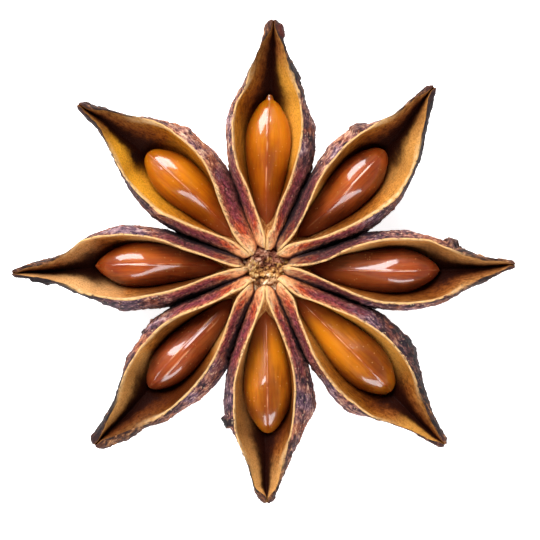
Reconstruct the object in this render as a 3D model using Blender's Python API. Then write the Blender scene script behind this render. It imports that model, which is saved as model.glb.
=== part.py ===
"""A whole dried star anise, lying on its back with its eight seeds showing.

Eight boat-shaped follicles stand round a short central column, like the rays of a
star. Each one has split open along its upper edge and holds one glossy seed, set on
edge in the hollow. The star rests on the flattened keels of its follicles and on the
scar under the column where the stalk broke off.

The frame: +Z up, the origin at the middle of the stalk scar, on the plane that the
star rests on, and +X along the first follicle. Sizes are in millimetres and degrees,
and are turned to metres as the meshes are made.
"""

import math
from dataclasses import dataclass

import bmesh
import bpy
from mathutils import Vector

MM = 0.001

# The column that all the follicles grow from.
COLUMN_RADIUS = 1.05
COLUMN_TOP = 6.5
SCAR_RADIUS = 0.8
COLUMN_SIDES = 24

# The follicles' common shape.
BASE_RADIUS = 1.2  # where a follicle starts, just clear of the column
NEIGHBOUR_GAP = 0.16  # between two follicles where their flanks lie together
LIP = 0.14  # width of the split edge
LEAST_MOUTH = 0.07  # the opening's half-width where the two lips come together
LEAST_HOLLOW = 0.15  # the hollow's depth at the same two places
SPLAY = 3.5  # how late along its length a follicle turns towards its tip

# What each seed keeps clear of its follicle, and its shape.
SEED_HIGH = 4.7
SEED_TOP = 6.8
SEED_SKEW = 1.67  # puts the thickest place at two thirds of the length

# Facets.
RINGS = 22
FLANK_POINTS = 4
SHOULDER_POINTS = 2
HOLLOW_POINTS = 3
SEED_SIDES = 12
SEED_RINGS = 10

# Where the flanks of two neighbours meet, as azimuths round the column. The first wall
# is on the right of the first follicle, and the rest follow anticlockwise.
WALLS = (-21.5, 19.0, 64.5, 110.5, 159.0, 202.5, 248.8, 293.5)

# Profiles along a follicle, as pairs of the share of its length and a value there.
BELLY_SHARE = (
    (0.00, 0.80), (0.32, 0.90), (0.54, 1.00), (0.65, 0.90), (0.73, 0.70),
    (0.81, 0.47), (0.89, 0.28), (1.00, 0.18),
)
MOUTH_SHARE = (
    (0.07, 0.02), (0.16, 0.13), (0.24, 0.35), (0.40, 0.80), (0.49, 0.95),
    (0.57, 1.00), (0.65, 0.95), (0.73, 0.76), (0.81, 0.49), (0.89, 0.27), (1.00, 0.04),
)
RIM_HEIGHT = ((0.07, 6.9), (0.20, 7.2), (0.45, 7.6), (0.70, 7.5), (0.88, 7.5), (1.00, 7.7))
KEEL_HEIGHT = (
    (0.07, 1.60), (0.20, 0.60), (0.36, -0.02), (0.44, -0.06), (0.54, 0.25),
    (0.64, 1.15), (0.76, 3.00), (0.88, 5.20), (1.00, 7.05),
)
WALL_UNDER = ((0.07, 4.80), (0.16, 2.40), (0.26, 1.00), (0.55, 0.70), (0.85, 0.90), (1.00, 0.55))
SHOULDER = ((0.07, 0.50), (0.30, 1.30), (0.55, 1.90), (0.80, 1.00), (1.00, 0.25))


@dataclass(frozen=True)
class Follicle:
    """One follicle and its seed. Left is anticlockwise, seen from above."""

    tip_azimuth: float
    length: float  # from the column's axis to the tip
    belly: float  # widest half-width of the body
    mouth: float  # widest half-width of the opening
    lean: float  # how far the opening sits to the left of the body's middle
    beak: float  # half-width of the blunt tip
    tip_rise: float  # how far the tip turns up
    seed_start: float  # the seed's two ends, from the column's axis
    seed_end: float
    seed_thick: float  # half its thickness, across the follicle


FOLLICLES = (
    Follicle(0.5, 15.90, 2.60, 2.04, 0.03, 0.28, 0.4, 3.0, 11.20, 1.42),
    Follicle(46.8, 15.65, 2.80, 2.24, -0.13, 0.32, 0.7, 3.1, 10.75, 1.36),
    Follicle(88.0, 15.75, 2.82, 2.20, 0.22, 0.50, 0.2, 3.0, 10.80, 1.45),
    Follicle(138.8, 15.70, 2.90, 2.18, 0.40, 0.28, 0.6, 3.0, 10.55, 1.42),
    Follicle(181.4, 16.10, 2.74, 2.03, 0.00, 0.28, 0.3, 2.9, 10.85, 1.40),
    Follicle(227.0, 15.70, 2.90, 2.08, -0.22, 0.50, 0.1, 3.2, 10.75, 1.34),
    Follicle(270.6, 15.05, 2.88, 1.92, -0.30, 0.52, 0.0, 3.1, 10.70, 1.50),
    Follicle(315.2, 16.10, 2.98, 2.20, -0.24, 0.36, 0.3, 3.0, 11.40, 1.50),
)


def along(profile, share):
    """The value of a profile at a share of the length, on a smooth curve through it."""
    if share <= profile[0][0]:
        return profile[0][1]
    if share >= profile[-1][0]:
        return profile[-1][1]
    slopes = [
        (b[1] - a[1]) / (b[0] - a[0]) for a, b in zip(profile[:-1], profile[1:])
    ]
    at = next(i for i, b in enumerate(profile[1:]) if share <= b[0])
    (x0, y0), (x1, y1) = profile[at], profile[at + 1]
    before = slopes[max(at - 1, 0)]
    after = slopes[min(at + 1, len(slopes) - 1)]
    run = x1 - x0
    start = run * mean_slope(before, slopes[at])
    end = run * mean_slope(slopes[at], after)
    u = (share - x0) / run
    return (
        y0 * (1 + 2 * u) * (1 - u) ** 2
        + start * u * (1 - u) ** 2
        + y1 * u * u * (3 - 2 * u)
        + end * u * u * (u - 1)
    )


def mean_slope(a, b):
    """The slope at a profile's point: level at a peak, and never overshooting."""
    return 2 * a * b / (a + b) if a * b > 0 else 0.0


def lesser(a, b, blend=0.25):
    """The smaller of two sizes, rounded over where they cross."""
    return (a + b - math.sqrt((a - b) ** 2 + blend**2)) / 2


def turn(azimuth, forward, left):
    """The plan position of a point given along and to the left of an azimuth."""
    a = math.radians(azimuth)
    return Vector(
        (
            forward * math.cos(a) - left * math.sin(a),
            forward * math.sin(a) + left * math.cos(a),
            0.0,
        )
    )


def wall_azimuths(index):
    """The azimuths of the follicle's right and left neighbours' walls."""
    right = WALLS[index]
    left = WALLS[(index + 1) % len(WALLS)]
    return right, left if left > right else left + 360


class Shell:
    """The boat-shaped shell of one follicle, as cross-sections along its spine."""

    def __init__(self, index):
        self.shape = FOLLICLES[index]
        self.right_wall, self.left_wall = wall_azimuths(index)
        self.base_azimuth = (self.right_wall + self.left_wall) / 2
        swing = self.shape.tip_azimuth - self.base_azimuth
        self.swing = (swing + 180) % 360 - 180

    def azimuth(self, share):
        """The spine's azimuth: straight out at first, then turning to the tip's."""
        return self.base_azimuth + self.swing * share**SPLAY

    def spine(self, share):
        """A point of the spine, in plan."""
        return turn(self.azimuth(share), share * self.shape.length, 0)

    def sideways(self, share):
        """The direction to the left of the spine, in plan."""
        ahead = self.spine(min(share + 0.01, 1)) - self.spine(share - 0.01)
        return Vector((-ahead.y, ahead.x, 0)).normalized()

    def room(self, share):
        """Half the width that a follicle has between its neighbours' walls."""
        half = math.radians(self.left_wall - self.right_wall) / 2
        return share * self.shape.length * math.tan(half) - NEIGHBOUR_GAP / 2

    def body(self, share):
        """Half-width of the body, wedged between its neighbours near the column."""
        free = self.shape.belly * along(BELLY_SHARE, share)
        beak_from = 0.8
        if share > beak_from:
            into = (share - beak_from) / (1 - beak_from)
            free += (self.shape.beak - self.shape.belly * BELLY_SHARE[-1][1]) * into
        return lesser(free, self.room(share))

    def mouth(self, share):
        """Half-widths of the opening to the left and to the right of the spine."""
        half = self.shape.mouth * along(MOUTH_SHARE, share)
        lean = self.shape.lean * math.sin(math.pi * min(share, 1)) ** 0.7
        widest = self.body(share) - LIP - 0.03
        return (
            min(max(half + lean, LEAST_MOUTH), max(widest, LEAST_MOUTH)),
            min(max(half - lean, LEAST_MOUTH), max(widest, LEAST_MOUTH)),
        )

    def heights(self, share):
        """Heights of the rim, of the widest place, of the hollow's floor and the keel."""
        rise = self.shape.tip_rise * share**6
        rim = along(RIM_HEIGHT, share) + rise
        keel = along(KEEL_HEIGHT, share) + rise
        floor = min(max(keel, 0) + along(WALL_UNDER, share), rim - LEAST_HOLLOW)
        return rim, rim - along(SHOULDER, share), floor, keel

    def section(self, share):
        """The closed outline of the shell at a share of its length.

        It runs from the keel up the right flank, over the right lip, down the hollow and
        up again, over the left lip and down the left flank. Each point is the distance to
        the left of the spine and the height.
        """
        left_mouth, right_mouth = self.mouth(share)
        body = self.body(share)
        rim, waist, floor, keel = self.heights(share)
        left = half_outline(left_mouth, body, rim, waist, floor, keel)
        right = half_outline(right_mouth, body, rim, waist, floor, keel)
        mirrored = [(-side, height) for side, height in right]
        return mirrored + left[-2:0:-1]

    def place(self, share, side, height):
        """A point of the shell in space, in metres, flattened where it would dip
        under the plane that the star rests on."""
        point = self.spine(share) + self.sideways(share) * side
        point.z = max(height, 0)
        return point * MM


def half_outline(mouth, body, rim, waist, floor, keel):
    """One side of a cross-section, from the keel over the lip to the hollow's floor."""
    points = []
    for step in range(FLANK_POINTS + 1):
        turned = step / FLANK_POINTS * math.pi / 2
        side = body * math.sin(turned) ** 0.9
        height = waist - (waist - keel) * math.cos(turned) ** 1.1
        points.append((side, height))
    edge = mouth + LIP
    for step in range(1, SHOULDER_POINTS + 1):
        turned = step / SHOULDER_POINTS * math.pi / 2
        side = edge + (body - edge) * math.cos(turned)
        points.append((side, waist + (rim - waist) * math.sin(turned)))
    for step in range(HOLLOW_POINTS + 2):
        turned = step / (HOLLOW_POINTS + 1) * math.pi / 2
        side = mouth * math.cos(turned) ** 0.9
        points.append((side, rim - (rim - floor) * math.sin(turned)))
    return points


def ring_shares(shell):
    """The shares of the length at which cross-sections stand, closer at the tip."""
    first = BASE_RADIUS / shell.shape.length
    even = [step / (RINGS - 2) for step in range(RINGS - 1)]
    return [first + (0.985 - first) * u ** 0.9 for u in even] + [1.0]


def husk(name, index, material):
    """A follicle's shell: a tube whose rings take the shell's cross-sections."""
    shell = Shell(index)
    shares = ring_shares(shell)
    outlines = [shell.section(share) for share in shares]
    outlines[-1] = blunt_end(outlines[-1])
    sides = len(outlines[0])
    bm = tube(sides, len(shares))
    for vert, ring, corner in ring_corners(bm, sides, len(shares)):
        vert.co = shell.place(shares[ring], *outlines[ring][corner])
    return finish(name, bm, material)


def blunt_end(outline, keep=0.6):
    """The last outline, drawn in round its middle, so that the tip is rounded off."""
    middle = sum(height for _, height in outline) / len(outline)
    return [(side * keep, middle + (height - middle) * keep) for side, height in outline]


def tube(sides, rings):
    """A closed tube with its rings one unit apart, made from a primitive."""
    bm = bmesh.new()
    bmesh.ops.create_cone(
        bm, cap_ends=True, segments=sides, radius1=1, radius2=1, depth=rings - 1
    )
    upright = [e for e in bm.edges if abs(e.verts[0].co.z - e.verts[1].co.z) > 0.5]
    bmesh.ops.subdivide_edges(bm, edges=upright, cuts=rings - 2, use_grid_fill=True)
    return bm


def ring_corners(bm, sides, rings):
    """Each vertex of a tube with its ring and its place round that ring."""
    for vert in bm.verts:
        turned = math.atan2(vert.co.x, vert.co.y) / math.tau
        corner = round(turned * sides) % sides
        yield vert, round(vert.co.z + (rings - 1) / 2), corner


def seed(name, index, material):
    """The seed of one follicle: a thick lens on edge, pointed towards the column."""
    shell = Shell(index)
    shape = shell.shape
    bm = bmesh.new()
    bmesh.ops.create_uvsphere(
        bm, u_segments=SEED_SIDES, v_segments=SEED_RINGS, radius=1
    )
    for vert in bm.verts:
        lengthways = (1 - vert.co.z) / 2
        across = math.hypot(vert.co.x, vert.co.y)
        round_x = vert.co.x / across if across > 1e-6 else 0.0
        round_z = vert.co.y / across if across > 1e-6 else 0.0
        share = shape.seed_start + (shape.seed_end - shape.seed_start) * lengthways
        share /= shape.length
        swell = seed_swell(lengthways)
        lean = shape.lean * math.sin(math.pi * share) ** 0.7
        point = shell.spine(share)
        point += shell.sideways(share) * (lean + shape.seed_thick * swell * round_x)
        middle = SEED_TOP - SEED_HIGH / 2 - 0.9 * (1 - lengthways) ** 2
        point.z = middle + SEED_HIGH / 2 * swell * round_z
        if round_z < 0:
            point.z += 0.9 * (round_z * max(lengthways - 0.45, 0) * 1.8) ** 2
        vert.co = point * MM
    return finish(name, bm, material)


def seed_swell(lengthways):
    """A seed's thickness along its length, as a share of the most."""
    return math.sqrt(max(math.sin(math.pi * lengthways**SEED_SKEW), 0))


def column(name, material):
    """The central column: a turned post with the flat stalk scar under it."""
    profile = (
        (0, 0), (SCAR_RADIUS, 0), (COLUMN_RADIUS, 0.6), (COLUMN_RADIUS * 0.92, 3.2),
        (COLUMN_RADIUS, COLUMN_TOP - 0.5), (COLUMN_RADIUS * 0.8, COLUMN_TOP - 0.1),
        (0, COLUMN_TOP),
    )
    bm = bmesh.new()
    verts = [bm.verts.new((radius * MM, 0, height * MM)) for radius, height in profile]
    edges = [bm.edges.new(pair) for pair in zip(verts[:-1], verts[1:])]
    bmesh.ops.spin(
        bm, geom=verts + edges, cent=(0, 0, 0), axis=(0, 0, 1), angle=math.tau,
        steps=COLUMN_SIDES, use_merge=True,
    )
    bmesh.ops.remove_doubles(bm, verts=bm.verts, dist=1e-6)
    return finish(name, bm, material)


def finish(name, bm, material):
    """Turns a bmesh into a smooth-shaded object of the scene."""
    if bm.calc_volume(signed=True) < 0:
        bmesh.ops.reverse_faces(bm, faces=bm.faces)
    mesh = bpy.data.meshes.new(name)
    bm.to_mesh(mesh)
    bm.free()
    mesh.materials.append(material)
    mesh.shade_smooth()
    mesh.set_sharp_from_angle(angle=math.radians(50))
    made = bpy.data.objects.new(name, mesh)
    bpy.context.scene.collection.objects.link(made)
    return made


def finish_of(name, colour, roughness):
    """A plain material for one kind of piece."""
    material = bpy.data.materials.new(name)
    material.use_nodes = True
    shader = material.node_tree.nodes["Principled BSDF"]
    shader.inputs["Base Color"].default_value = (*colour, 1)
    shader.inputs["Roughness"].default_value = roughness
    shader.inputs["Metallic"].default_value = 0
    material.diffuse_color = (*colour, 1)
    return material


def main():
    """Clears the scene and builds the star."""
    for old in list(bpy.data.objects):
        bpy.data.objects.remove(old)
    husk_finish = finish_of("husk", (0.16, 0.07, 0.045), 0.85)
    seed_finish = finish_of("seed_coat", (0.45, 0.13, 0.02), 0.15)
    core_finish = finish_of("core", (0.42, 0.24, 0.12), 0.9)
    column("column", core_finish)
    for index in range(len(FOLLICLES)):
        husk(f"follicle_{index + 1}", index, husk_finish)
        seed(f"seed_{index + 1}", index, seed_finish)


main()
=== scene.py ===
"""A whole dried star anise on a pale table, under two softboxes, seen from above.

The star is eight split follicles round a short crumbly column, with a polished seed in
each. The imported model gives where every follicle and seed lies; the classes below give
the uneven outlines, the relief and the finishes. Sizes are in millimetres and angles in
degrees, until a mesh is placed. Left is anticlockwise, seen from above.
"""

from __future__ import annotations

import logging
import math
from dataclasses import dataclass, field
from enum import Enum

import bmesh
import bpy
import numpy as np
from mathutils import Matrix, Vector

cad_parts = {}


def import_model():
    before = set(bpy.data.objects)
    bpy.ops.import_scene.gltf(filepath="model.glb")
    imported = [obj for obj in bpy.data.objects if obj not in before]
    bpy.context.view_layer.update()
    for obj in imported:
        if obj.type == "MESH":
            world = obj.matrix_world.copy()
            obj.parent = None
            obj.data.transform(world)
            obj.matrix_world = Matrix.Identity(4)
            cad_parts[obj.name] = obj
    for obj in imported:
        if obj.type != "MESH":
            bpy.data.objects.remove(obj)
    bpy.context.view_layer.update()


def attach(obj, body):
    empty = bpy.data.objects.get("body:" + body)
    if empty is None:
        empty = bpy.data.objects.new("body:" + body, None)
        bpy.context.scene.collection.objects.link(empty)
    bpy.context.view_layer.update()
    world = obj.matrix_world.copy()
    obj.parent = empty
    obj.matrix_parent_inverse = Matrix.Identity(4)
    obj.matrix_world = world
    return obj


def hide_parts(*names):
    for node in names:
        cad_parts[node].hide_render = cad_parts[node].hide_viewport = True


log = logging.getLogger("star_anise")

MM = 0.001
Array = np.ndarray


# --- Small tools -------------------------------------------------------------------


def linear(hex_colour: str) -> tuple[float, float, float, float]:
    """Turns an sRGB hex colour into Blender's linear colour.

    Args:
        hex_colour: Six hex digits, such as "C8A060".

    Returns:
        Red, green, blue and an alpha of one.
    """
    channels = [int(hex_colour[at : at + 2], 16) / 255 for at in (0, 2, 4)]
    low = [c / 12.92 if c <= 0.04045 else ((c + 0.055) / 1.055) ** 2.4 for c in channels]
    return (low[0], low[1], low[2], 1.0)


def smooth(low: float, high: float, value: Array) -> Array:
    """A smooth step from 0 at low to 1 at high.

    Args:
        low: Where the step starts.
        high: Where it ends; it may be below low for a falling step.
        value: The positions to read it at.

    Returns:
        The step's height at each position.
    """
    share = np.clip((value - low) / (high - low), 0, 1)
    return share * share * (3 - 2 * share)


def capped(value: Array, most: Array, power: float) -> Array:
    """Bends a value over smoothly, so that it never passes its cap.

    Args:
        value: Numbers of 0 or more.
        most: The cap.
        power: How sharply the value bends.

    Returns:
        The capped numbers.
    """
    return value / (1 + (value / most) ** power) ** (1 / power)


class Profile:
    """A smooth curve through a few points, which never overshoots them."""

    def __init__(self, *points: tuple[float, float]) -> None:
        """Takes the curve's points in rising order.

        Args:
            points: Pairs of a position and the value there.
        """
        self.at = np.array([p[0] for p in points], float)
        self.value = np.array([p[1] for p in points], float)
        steps = np.diff(self.value) / np.diff(self.at)
        before = np.concatenate([steps[:1], steps])
        after = np.concatenate([steps, steps[-1:]])
        product = before * after
        total = np.where(np.abs(before + after) > 1e-9, before + after, 1.0)
        self.slope = np.where(product > 0, 2 * product / total, 0.0)

    def __call__(self, position: Array) -> Array:
        """Reads the curve, which is level beyond its ends.

        Args:
            position: Where to read it.

        Returns:
            The values there.
        """
        position = np.clip(position, self.at[0], self.at[-1])
        index = np.clip(np.searchsorted(self.at, position) - 1, 0, len(self.at) - 2)
        run = self.at[index + 1] - self.at[index]
        u = (position - self.at[index]) / run
        return (
            self.value[index] * (1 + 2 * u) * (1 - u) ** 2
            + run * self.slope[index] * u * (1 - u) ** 2
            + self.value[index + 1] * u * u * (3 - 2 * u)
            + run * self.slope[index + 1] * u * u * (u - 1)
        )


class Grain:
    """Seeded lumpy noise in space, for relief that is part of the mesh."""

    TABLE = 4096

    def __init__(self, seed: int) -> None:
        """Fills the table of lattice values.

        Args:
            seed: Any whole number; the same one always gives the same noise.
        """
        self.table = np.random.default_rng(seed).uniform(-1, 1, self.TABLE)

    def __call__(self, points: Array, size: float) -> Array:
        """Reads the noise.

        Args:
            points: Positions, one row each, in millimetres.
            size: How far apart the lumps are, in millimetres.

        Returns:
            One value from -1 to 1 for each position.
        """
        scaled = points / size
        cell = np.floor(scaled).astype(np.int64)
        part = scaled - cell
        part = part * part * part * (part * (part * 6 - 15) + 10)
        total = np.zeros(len(points))
        for corner in range(8):
            step = np.array([corner & 1, corner >> 1 & 1, corner >> 2 & 1])
            at = cell + step
            mixed = at[:, 0] * 73856093 ^ at[:, 1] * 19349663 ^ at[:, 2] * 83492791
            weight = np.prod(np.where(step == 1, part, 1 - part), axis=1)
            total += weight * self.table[mixed & (self.TABLE - 1)]
        return total

    def layered(self, points: Array, size: float, layers: int, fall: float = 0.5) -> Array:
        """Adds finer and finer noise.

        Args:
            points: Positions, one row each, in millimetres.
            size: The coarsest lumps' spacing.
            layers: How many sizes are added, each half the one before.
            fall: Each layer's height against the one before.

        Returns:
            One value for each position, about -1 to 1.
        """
        total = np.zeros(len(points))
        height = 1.0
        reach = 0.0
        for layer in range(layers):
            shifted = points + 17.3 * layer
            total += height * self(shifted, size / 2**layer)
            reach += height
            height *= fall
        return total / reach * 1.6

    def plates(self, points: Array, size: float, crack: float = 0.22) -> tuple[Array, Array]:
        """Splits space into small plates with cracks between them.

        Args:
            points: Positions, one row each, in millimetres.
            size: How wide the plates are, in millimetres.
            crack: How wide the cracks are, as a share of a plate.

        Returns:
            Each position's plate height from -1 to 1, and 0 in a crack to 1 on a plate.
        """
        scaled = points / size
        cell = np.floor(scaled).astype(np.int64)
        nearest = np.full(len(points), 9.0)
        second = np.full(len(points), 9.0)
        height = np.zeros(len(points))
        for corner in range(27):
            step = np.array([corner % 3 - 1, corner // 3 % 3 - 1, corner // 9 - 1])
            at = cell + step
            mixed = at[:, 0] * 73856093 ^ at[:, 1] * 19349663 ^ at[:, 2] * 83492791
            jitter = np.stack([self.table[mixed + k & (self.TABLE - 1)] for k in (1, 2, 3)], axis=1)
            away = np.linalg.norm(at + 0.5 + 0.45 * jitter - scaled, axis=1)
            closer = away < nearest
            second = np.where(closer, nearest, np.minimum(second, away))
            height = np.where(closer, self.table[mixed & (self.TABLE - 1)], height)
            nearest = np.where(closer, away, nearest)
        return height, smooth(0.0, crack, second - nearest)


@dataclass
class MeshPiece:
    """A mesh object under construction, with its vertices as rows in millimetres."""

    name: str

    def adopt(self, bm: bmesh.types.BMesh) -> None:
        """Makes the object from a bmesh.

        Args:
            bm: The shape, in metres and in place; it is freed.
        """
        if bm.calc_volume(signed=True) < 0:
            bmesh.ops.reverse_faces(bm, faces=bm.faces)
        self.mesh = bpy.data.meshes.new(self.name)
        bm.to_mesh(self.mesh)
        bm.free()
        self.mesh.shade_smooth()
        self.thing = bpy.data.objects.new(self.name, self.mesh)
        bpy.context.scene.collection.objects.link(self.thing)

    def points(self) -> Array:
        """The vertices, one row each, in millimetres."""
        flat = np.empty(len(self.mesh.vertices) * 3, np.float32)
        self.mesh.vertices.foreach_get("co", flat)
        return flat.reshape(-1, 3).astype(float) / MM

    def normals(self) -> Array:
        """The vertex normals, one row each."""
        flat = np.empty(len(self.mesh.vertices) * 3, np.float32)
        self.mesh.vertex_normals.foreach_get("vector", flat)
        return flat.reshape(-1, 3).astype(float)

    def move_to(self, points: Array) -> None:
        """Puts the vertices at new places.

        Args:
            points: One row for each vertex, in millimetres.
        """
        self.mesh.vertices.foreach_set("co", (points * MM).astype(np.float32).ravel())
        self.mesh.update()

    def mark(self, name: str, values: Array) -> None:
        """Stores one number for each vertex, which a material reads by its name.

        Args:
            name: The attribute's name.
            values: One number for each vertex.
        """
        layer = self.mesh.attributes.new(name, "FLOAT", "POINT")
        layer.data.foreach_set("value", values.astype(np.float32))

    def mark_place(self, name: str, values: Array) -> None:
        """Stores a place of its own for each vertex, for patterns that follow the form.

        Args:
            name: The attribute's name.
            values: Three numbers for each vertex.
        """
        layer = self.mesh.attributes.new(name, "FLOAT_VECTOR", "POINT")
        layer.data.foreach_set("vector", values.astype(np.float32).ravel())

    def read(self, name: str) -> Array:
        """The numbers stored under a name, one for each vertex."""
        flat = np.empty(len(self.mesh.vertices), np.float32)
        self.mesh.attributes[name].data.foreach_get("value", flat)
        return flat.astype(float)

    def dress(self, *materials: bpy.types.Material) -> None:
        """Gives the mesh its materials, in order."""
        for material in materials:
            self.mesh.materials.append(material)


# --- Materials ---------------------------------------------------------------------


class Finish:
    """A node material that is being wired up."""

    def __init__(self, name: str) -> None:
        """Starts from a plain Principled shader.

        Args:
            name: The material's name.
        """
        self.material = bpy.data.materials.new(name)
        self.material.use_nodes = True
        self.tree = self.material.node_tree
        self.shader = self.tree.nodes["Principled BSDF"]

    def add(self, kind: str, settings: dict | None = None, **links: object) -> bpy.types.Node:
        """Adds a node with its settings and links.

        Args:
            kind: The node's type, such as "ShaderNodeTexNoise".
            settings: The node's own properties, by name.
            links: Input values or the sockets that feed them. A name is an input's name
                with _ for a space, or in and a number for an input by its place.

        Returns:
            The node.
        """
        node = self.tree.nodes.new(kind)
        for name, value in (settings or {}).items():
            setattr(node, name, value)
        for name, value in links.items():
            plain = name.removeprefix("in")
            socket = node.inputs[int(plain) if plain.isdigit() else name.replace("_", " ")]
            if isinstance(value, bpy.types.NodeSocket):
                self.tree.links.new(value, socket)
            else:
                socket.default_value = value
        return node

    def ramp(self, factor: bpy.types.NodeSocket, *stops: tuple[float, str]) -> bpy.types.NodeSocket:
        """Adds a colour ramp.

        Args:
            factor: What it reads.
            stops: Pairs of a place from 0 to 1 and an sRGB hex colour.

        Returns:
            The ramp's colour.
        """
        node = self.add("ShaderNodeValToRGB", Fac=factor)
        elements = node.color_ramp.elements
        while len(elements) < len(stops):
            elements.new(1.0)
        for element, (place, colour) in zip(elements, stops):
            element.position = place
            element.color = linear(colour)
        return node.outputs["Color"]

    def span(self, value: bpy.types.NodeSocket, low: float, high: float) -> bpy.types.NodeSocket:
        """Turns the run from low to high into 0 to 1, smoothly and clamped."""
        node = self.add(
            "ShaderNodeMapRange",
            {"interpolation_type": "SMOOTHSTEP"},
            Value=value,
            From_Min=low,
            From_Max=high,
        )
        return node.outputs["Result"]

    def blend(
        self,
        factor: bpy.types.NodeSocket,
        first: object,
        second: object,
        how: str = "MIX",
    ) -> bpy.types.NodeSocket:
        """Mixes two colours.

        Args:
            factor: How much of the second one shows.
            first: A socket or an sRGB hex colour.
            second: A socket or an sRGB hex colour.
            how: The mix node's blend type.

        Returns:
            The mixed colour.
        """
        ends = [linear(end) if isinstance(end, str) else end for end in (first, second)]
        node = self.add(
            "ShaderNodeMix",
            {"data_type": "RGBA", "blend_type": how},
            in0=factor,
            in6=ends[0],
            in7=ends[1],
        )
        return node.outputs[2]

    def sum(self, how: str, first: object, second: object) -> bpy.types.NodeSocket:
        """One step of arithmetic on two numbers or sockets."""
        node = self.add("ShaderNodeMath", {"operation": how}, in0=first, in1=second)
        return node.outputs[0]

    def attribute(self, name: str) -> bpy.types.NodeSocket:
        """Reads a number stored on the mesh."""
        return self.add("ShaderNodeAttribute", {"attribute_name": name}).outputs["Fac"]

    def own_place(self, name: str, stretch: tuple[float, float, float] = (1, 1, 1)) -> bpy.types.NodeSocket:
        """Reads a place stored on the mesh, times a stretch for each axis."""
        place = self.add("ShaderNodeAttribute", {"attribute_name": name}).outputs["Vector"]
        return self.add("ShaderNodeMapping", Vector=place, Scale=stretch).outputs["Vector"]

    def specks(self, place: bpy.types.NodeSocket, size: float, share: float) -> bpy.types.NodeSocket:
        """Crisp round specks, 1 on a speck.

        Args:
            place: Where the pattern is read.
            size: How far apart the specks can be, in millimetres.
            share: How many of the places hold one, from 0 to 1.

        Returns:
            The pattern.
        """
        cells = self.add("ShaderNodeTexVoronoi", Vector=place, Scale=1 / size)
        dot = self.span(cells.outputs["Distance"], 0.42, 0.22)
        lot = self.add("ShaderNodeSeparateColor", Color=cells.outputs["Color"]).outputs[0]
        return self.sum("MULTIPLY", dot, self.sum("LESS_THAN", lot, share))

    def millimetres(self, stretch: tuple[float, float, float] = (1, 1, 1)) -> bpy.types.NodeSocket:
        """The place on the piece in millimetres, times a stretch for each axis."""
        place = self.add("ShaderNodeTexCoord").outputs["Object"]
        scale = tuple(axis / MM for axis in stretch)
        return self.add("ShaderNodeMapping", Vector=place, Scale=scale).outputs["Vector"]

    def noise(
        self,
        place: bpy.types.NodeSocket,
        size: float,
        detail: float = 4,
        roughness: float = 0.6,
    ) -> bpy.types.NodeSocket:
        """Adds noise whose lumps are a size in millimetres apart, from 0 to 1."""
        node = self.add(
            "ShaderNodeTexNoise",
            Vector=place,
            Scale=1 / size,
            Detail=detail,
            Roughness=roughness,
        )
        return node.outputs[0]

    def relief(self, height: bpy.types.NodeSocket, depth: float, strength: float = 1) -> None:
        """Wires a bump of a real depth in millimetres to the shader."""
        bump = self.add("ShaderNodeBump", Height=height, Distance=depth * MM, Strength=strength)
        self.set(Normal=bump.outputs["Normal"])

    def set(self, **values: object) -> None:
        """Sets or links the shader's own inputs, named with _ for a space."""
        for name, value in values.items():
            socket = self.shader.inputs[name.replace("_", " ")]
            if isinstance(value, bpy.types.NodeSocket):
                self.tree.links.new(value, socket)
            else:
                socket.default_value = value


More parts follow.
